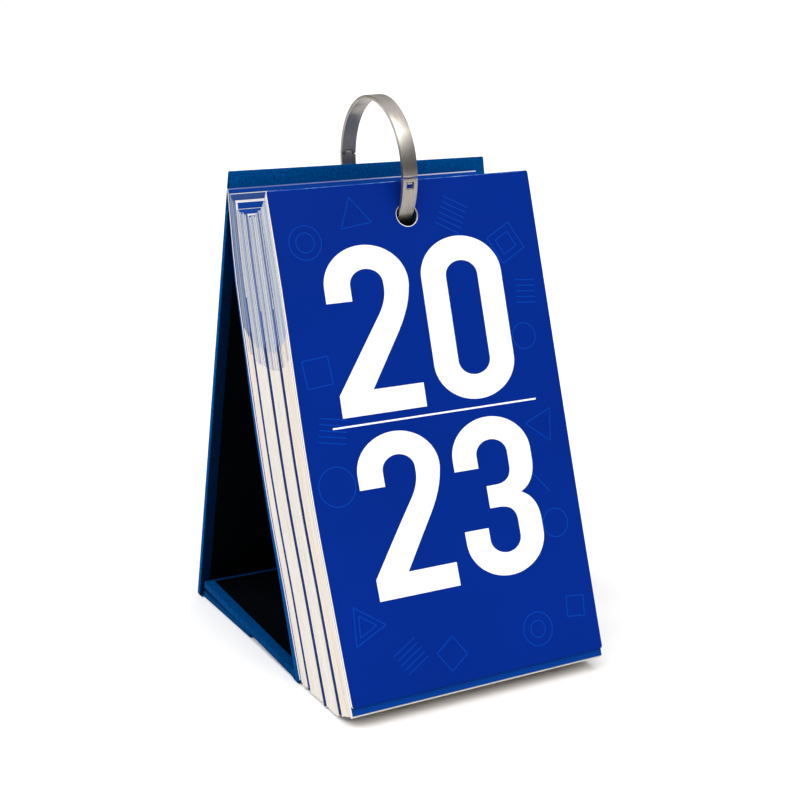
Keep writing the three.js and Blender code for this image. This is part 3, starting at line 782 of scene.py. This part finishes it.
def number_prints(text, x, s, h, label=1, gap=7.0, width=1.0):
    """Solid and counter outlines of a number, its top left corner at x, s."""
    k = h / 72.0
    solid, counter = [], []
    for ch in text:
        a, b = numeral(ch)
        for p in a:
            solid.append([(x + px * k * width, s + (72 - py) * k) for px, py in p])
        for p in b:
            counter.append([(x + px * k * width, s + (72 - py) * k) for px, py in p])
        x += (34 * width + gap / k) * k
    return [(label, p) for p in solid], [(-1, p) for p in counter]


def bar_pts(x0, s0, x1, s1, w):
    d = math.hypot(x1 - x0, s1 - s0)
    nx, ny = -(s1 - s0) / d * w / 2, (x1 - x0) / d * w / 2
    return [(x0 + nx, s0 + ny), (x1 + nx, s1 + ny), (x1 - nx, s1 - ny), (x0 - nx, s0 - ny)]


def stroke(points, w, closed=False):
    """A thin line as one closed outline, offset to both sides."""
    n = len(points)
    left, rightp = [], []
    for i in range(n):
        a = points[(i - 1) % n] if (closed or i) else points[i]
        b = points[(i + 1) % n] if (closed or i < n - 1) else points[i]
        dx, dy = b[0] - a[0], b[1] - a[1]
        d = math.hypot(dx, dy) or 1
        nx, ny = -dy / d * w / 2, dx / d * w / 2
        left.append((points[i][0] + nx, points[i][1] + ny))
        rightp.append((points[i][0] - nx, points[i][1] - ny))
    if closed:
        return [left, rightp]
    return [left + rightp[::-1]]


solid_a, hollow_a = number_prints("20", -42.0, 25.0, 68.5, gap=6.0, width=1.17)
solid_b, hollow_b = number_prints("23", -39.6, 101.4, 66.4, gap=6.2, width=1.18)
rule = [(1, bar_pts(-47, 97.05, 47, 97.05, 0.7))]

motifs = []
W = 0.42


def add_line(pts):
    for p in stroke(pts, W):
        motifs.append(("poly", p))


def motif_tri(x, s, a, turn=0.0):
    c = [(x + a * math.cos(turn + k * 2.0944), s + a * math.sin(turn + k * 2.0944)) for k in range(3)]
    for k in range(3):
        add_line([c[k], c[(k + 1) % 3]])


def motif_square(x, s, a, turn=0.0):
    c = [(x + a * math.cos(turn + k * 1.5708), s + a * math.sin(turn + k * 1.5708)) for k in range(4)]
    for k in range(4):
        add_line([c[k], c[(k + 1) % 4]])


def motif_hatch(x, s, n, length, gap, turn):
    dx, dy = math.cos(turn), math.sin(turn)
    for k in range(n):
        ox, oy = x - dy * gap * k, s + dx * gap * k
        add_line([(ox, oy), (ox + dx * length, oy + dy * length)])


for x, s, r in ((-47, 22, 7), (-47, 22, 4), (46, 70, 9), (46, 70, 5.5), (-49, 120, 8), (30, 192, 7), (30, 192, 3.5), (47, 150, 6)):
    motifs.append(("ring", x, s, r))
motif_tri(-24, 13, 8, 0.4)
motif_tri(48, 108, 8, 1.2)
motif_tri(-48, 176, 9, 0.1)
motif_tri(-48, 176, 5, 0.1)
motif_square(44, 30, 9, 0.3)
motif_square(44, 30, 5, 0.3)
motif_square(-50, 74, 8, 0.7)
motif_square(-12, 194, 7, 0.2)
motif_square(50, 186, 6, 0.9)
motif_hatch(18, 8, 6, 12, 2.4, 0.5)
motif_hatch(-52, 92, 5, 12, 2.4, 0.2)
motif_hatch(-38, 190, 5, 12, 2.4, -0.5)
motif_hatch(40, 128, 5, 11, 2.4, 0.9)
motif_hatch(46, 46, 5, 9, 2.4, 0.1)


def clear_of_numbers(pts):
    return all(not inside(p, x, s) for x, s in pts for _, p in solid_a + solid_b)


def cover_prints():
    out = []
    for mtf in motifs:
        if mtf[0] == "ring":
            _, x, s, r = mtf
            a, b = circle(x, s, r + W / 2, 28), circle(x, s, r - W / 2, 28)
            if clear_of_numbers(a):
                out += [(2, a), (-2, b)]
        elif clear_of_numbers(mtf[1]):
            out.append((2, mtf[1]))
    return out + solid_a + hollow_a + solid_b + hollow_b + rule


def page_prints(number):
    """A generic leaf: printed head, a number, and ruled lines under it."""
    out = [(1, [(-59.6, 0.4), (59.6, 0.4), (59.6, 57.0), (-59.6, 57.0)])]
    a, b = number_prints(number, -16 if len(number) == 1 else -30, 74, 60.0, label=2, gap=6)
    out += a + [(-2, p) for _, p in b]
    for k in range(6):
        out.append((2, bar_pts(-46, 150 + 8 * k, 46, 150 + 8 * k, 0.35)))
    return out


def card_prints():
    out = []
    for k in range(7):
        out.append((1, bar_pts(-45 + 15 * k, 60, -45 + 15 * k, 160, 0.4)))
    for k in range(6):
        out.append((1, bar_pts(-45, 60 + 20 * k, 45, 60 + 20 * k, 0.4)))
    return out


cover_layer = card_layer(0, 1.1)
rim_s = hole_s(n_mid(0.55)) - cover_layer[0]["top"]
hole_rim = [(1, circle(HOLE_X - LEAF_X - 0.08, rim_s + 0.12, 5.0, 40))]
leaf_object("front_cover_card", "front_cover", "front_cover", cover_layer, [M_CORE, M_COVER, M_PRINT, M_MOTIF, M_RUB], prints=[(3, [(-58.8, 0.12), (58.8, 0.12), (58.8, 0.42), (-58.8, 0.42)])] + hole_rim + cover_prints(), r=1.0, hole_r=4.9)
title = card_layer(1.4, 1.9, rise=-0.4, drop=2.4)
th = title[0]["bottom"] - title[0]["top"]
leaf_object("title_sheet_card", "title_sheet", "title_sheet", title, [M_WHITE_EDGE, M_TITLE, M_TITLE_DARK, M_MOTIF, M_HOLE_SHADE], prints=[(1, [(-59.8, 0.3), (59.8, 0.3), (59.8, th - 3.4), (-59.8, th - 3.4)])], hole_r=4.9, dark_hole=4)
pads = [
    ("pad_quarter_1", 2.2, 11.6, 17, -0.3, 2.6, 210.4, "1"),
    ("pad_quarter_2", 13.7, 24.5, 20, 0, -2, 999.0, "2"),
    ("pad_quarter_3", 26.6, 37.7, 20, 0, 0, 999.0, "3"),
    ("pad_quarter_4", 39.4, 45.2, 11, 1.2, -0.6, 200.6, "4"),
]
for i, (node, u0, u1, n, rise, drop, low, num) in enumerate(pads):
    leaf_object(node + "_leaves", node, node, pad_layers(u0, u1, n, rise, drop, low), [page_edges("page_edges_%d" % (i + 1), 11.0 * i, u0, u1, 1.0 if i in (0, 3) else 0.1, ((0.0, 0.25), (0.2, 0.45), (0.4, 0.0), (0.0, 0.0))[i], 0.72 if i == 3 else 1.0), M_PAGE, M_HEAD_GREY if i == 3 else M_HEAD, M_INK, M_HOLE_SHADE], prints=page_prints(num), hole_r=5.7 if i == 3 else 5.25, head=57.0, dark_hole=4)
for node, u0, u1, rise, drop, low in (("divider_1", 11.9, 13.4, 0.2, -2.6, 999.0), ("divider_2", 24.8, 26.3, 0.2, -0.4, 999.0), ("divider_3", 38.0, 39.1, 2.4, -0.4, 201.2), ("back_cover", 45.5, 46.5, 1.7, -1, 999.0)):
    margin = [(2, [(-59.9, 0.1), (59.9, 0.1), (59.9, 1.1), (-59.9, 1.1)]), (2, [(-59.9, 1.2), (-59.0, 1.2), (-59.0, 40.0), (-59.9, 40.0)])]
    edge_mat = M_BACK_EDGE if node == "back_cover" else M_DIV_EDGE
    last = node == "back_cover"
    top_line = [(2, [(-59.9, 0.1), (59.9, 0.1), (59.9, 0.56), (-59.9, 0.56)])]
    leaf_object(node + "_card", node, node, card_layer(u0, u1, rise, drop, low), [edge_mat, M_DIV, M_MOTIF, M_PALE if last else M_MARGIN, M_HOLE_SHADE], prints=top_line if last else margin + card_prints(), hole_r=6.4 if last else 5.25, dark_hole=4)


# ------------------------------------------------------- finished CAD pieces
def finished(node, material, width, angle=32.0, segments=2, name=None, extra=()):
    """A copy of a CAD node with its sharp edges rounded, which stands for it."""
    src = NODES[node]
    me = src.data.copy()
    me.name = name or node + "_finished"
    bm = bmesh.new()
    bm.from_mesh(me)
    bmesh.ops.remove_doubles(bm, verts=bm.verts, dist=2e-6)
    bmesh.ops.dissolve_limit(bm, angle_limit=math.radians(0.6), verts=bm.verts, edges=bm.edges)
    sharp = [e for e in bm.edges if len(e.link_faces) == 2 and e.calc_face_angle(0) > math.radians(angle)]
    bmesh.ops.bevel(bm, geom=sharp, offset=width / 1000, segments=segments, profile=0.55, affect="EDGES", clamp_overlap=True)
    bmesh.ops.triangulate(bm, faces=[f for f in bm.faces if len(f.verts) > 4])
    for f in bm.faces:
        f.smooth = True
    for e in bm.edges:
        e.smooth = not (len(e.link_faces) == 2 and e.calc_face_angle(0) > math.radians(28))
    bm.to_mesh(me)
    bm.free()
    me.materials.clear()
    me.materials.append(material)
    o = bpy.data.objects.new(me.name, me)
    bpy.context.scene.collection.objects.link(o)
    for b, members in frame["record"]["behaviour"]["bodies"].items():
        if node in members:
            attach(o, b)
    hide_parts(node)
    return o


finished("front_panel_cloth", cloth_front, 0.2)
finished("rear_panel_cloth", cloth_rear, 0.2)
finished("base_cloth", cloth_flat_shaded, 0.2)
finished("flap_cloth", cloth_flat_shaded, 0.2)
ring_low = finished("ring_lower_half", M_STEEL, 0.16, segments=2)


def ease_latch(o, by=0.5):
    """Draws the lower half's end back a little, for the latch's play."""
    cy, cz = RING[1] / 1000, RING[2] / 1000
    near = []
    for v in o.data.vertices:
        a = math.degrees(math.atan2(v.co.z - cz, v.co.y - cy)) % 360.0
        if 178.0 < a < 200.0:
            near.append((a, v))
    first = min(a for a, v in near)
    c, s = math.cos(math.radians(by)), math.sin(math.radians(by))
    for a, v in near:
        if a < first + 0.75:
            y, z = v.co.y - cy, v.co.z - cz
            v.co.y, v.co.z = cy + y * c - z * s, cz + y * s + z * c


ease_latch(ring_low)
finished("ring_upper_half", M_STEEL, 0.16, segments=2)



def lining_sheet(node, grow=0.25):
    """The lining paper, pasted right up to the turned-in cloth."""
    o = finished(node, M_LINING, 0.04, segments=1)
    co = [v.co.copy() for v in o.data.vertices]
    mid = [(min(c[i] for c in co) + max(c[i] for c in co)) / 2 for i in range(3)]
    mid = Vector(mid)
    far = max(co, key=lambda c: math.hypot(c.y - mid.y, c.z - mid.z)) - mid
    d = Vector((0.0, far.y, far.z)).normalized()
    ex = max(abs(c.x - mid.x) for c in co)
    es = max(abs((c - mid).dot(d)) for c in co)
    for v in o.data.vertices:
        r = v.co - mid
        if abs(r.x) > ex - 0.0002:
            v.co.x += math.copysign(grow / 1000, r.x)
        s = r.dot(d)
        if abs(s) > es - 0.0006:
            v.co += d * math.copysign(grow / 1000, s)


for lined in ("front_panel_lining", "rear_panel_lining", "base_lining", "flap_lining"):
    lining_sheet(lined)


def hinge_seat(name, body, spans, facing):
    """The hollow end of one half, curved round the other half's knuckle, in darker steel as painted shade in the hinge.
    """
    pin_me = NODES["ring_hinge_pin"].data
    co = [v.co.copy() for v in pin_me.vertices]
    mid = sum(co, Vector()) / len(co)
    far = max(co, key=lambda v: (v - mid).length)
    ax = max(((v - w) for v in co[:40] for w in co), key=lambda d: d.length).normalized()
    if ax.x < 0:
        ax = -ax
    out = Vector([v / 1000 for v in RING]) - mid
    out = (out - ax * out.dot(ax)).normalized() * -1
    along = ax.cross(out).normalized()
    if along.z < 0:
        along = -along
    along = along * facing
    bm = bmesh.new()
    for x0, x1 in spans:
        rings = []
        for k in range(9):
            a = math.radians(-40 + 10 * k)
            d = along * math.cos(a) + out * math.sin(a)
            rings.append([bm.verts.new(mid + ax * (x / 1000) + d * (r / 1000)) for x, r in ((x0, 0.93), (x1, 0.93), (x1, 1.22), (x0, 1.22))])
        for k in range(8):
            for q in range(4):
                bm.faces.new((rings[k][q], rings[k][(q + 1) % 4], rings[k + 1][(q + 1) % 4], rings[k + 1][q]))
        bm.faces.new(rings[0][::-1])
        bm.faces.new(rings[-1])
    bmesh.ops.recalc_face_normals(bm, faces=bm.faces)
    me = bpy.data.meshes.new(name)
    bm.to_mesh(me)
    bm.free()
    me.materials.append(M_SHADE_STEEL)
    o = bpy.data.objects.new(name, me)
    bpy.context.scene.collection.objects.link(o)
    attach(o, body)
    return o


hinge_seat("hinge_seat_lower", "ring_lower", [(-3.2, -1.7), (1.7, 3.2)], -1)
hinge_seat("hinge_seat_upper", "ring_upper", [(-1.3, 1.3)], 1)

for n, mat_ in (("front_panel_board", M_BOARD), ("rear_panel_board", M_BOARD), ("base_board", M_BOARD), ("flap_board", M_BOARD),
                ("base_magnet_left", M_NICKEL), ("base_magnet_right", M_NICKEL), ("flap_plate_left", M_NICKEL), ("flap_plate_right", M_NICKEL),
                ("ring_hinge_pin", M_STEEL)):
    o = NODES[n]
    o.data.materials.clear()
    o.data.materials.append(mat_)


# ----------------------------------------------------------- cloth folds
def fold_strip(name, profile, thickness, material, half=61.9, rows=8):
    """Cloth across a fold: a profile in YZ (mm), swept along X, with thickness."""
    n = len(profile)
    nor = []
    for i in range(n):
        p, q = profile[max(0, i - 1)], profile[min(n - 1, i + 1)]
        d = math.hypot(q[0] - p[0], q[1] - p[1])
        nor.append((-(q[1] - p[1]) / d, (q[0] - p[0]) / d))
    bm = bmesh.new()
    grid = []
    for j in range(rows + 1):
        x = (-half + 2 * half * j / rows + X_SHIFT) / 1000
        outer = [bm.verts.new((x, (p[0] + Y_SHIFT) / 1000, p[1] / 1000)) for p in profile]
        inner = [bm.verts.new((x, (p[0] + q[0] * thickness + Y_SHIFT) / 1000, (p[1] + q[1] * thickness) / 1000)) for p, q in zip(profile, nor)]
        grid.append(outer + inner[::-1])
    m2 = 2 * n
    for j in range(rows):
        for i in range(m2):
            k = (i + 1) % m2
            bm.faces.new((grid[j][i], grid[j][k], grid[j + 1][k], grid[j + 1][i]))
    bm.faces.new(grid[0][::-1])
    bm.faces.new(grid[-1])
    bmesh.ops.recalc_face_normals(bm, faces=bm.faces)
    for f in bm.faces:
        f.smooth = len(f.verts) == 4
    me = bpy.data.meshes.new(name)
    bm.to_mesh(me)
    bm.free()
    me.materials.append(material)
    o = bpy.data.objects.new(name, me)
    bpy.context.scene.collection.objects.link(o)
    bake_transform(o)
    return o


fold_strip("apex_fold_cloth", [(6.55, 203.6), (6.7, 205.0), (6.95, 205.9), (7.35, 206.25), (7.75, 206.15), (8.1, 205.5), (8.45, 203.8)], -0.28,
           cloth_front)
fold_strip("rear_foot_fold_cloth", [(56.75, 1.6), (56.75, 0.8), (56.3, 0.3), (55.2, 0.12), (53.6, 0.1), (51.6, 0.1)], -0.25,
           cloth_flat_shaded)
fold_strip("front_foot_fold_cloth", [(-56.7, 1.3), (-56.6, 0.6), (-55.9, 0.16), (-54.2, 0.12), (-52.6, 0.2), (-50.9, 0.5)], 0.25,
           cloth_flat_shaded)
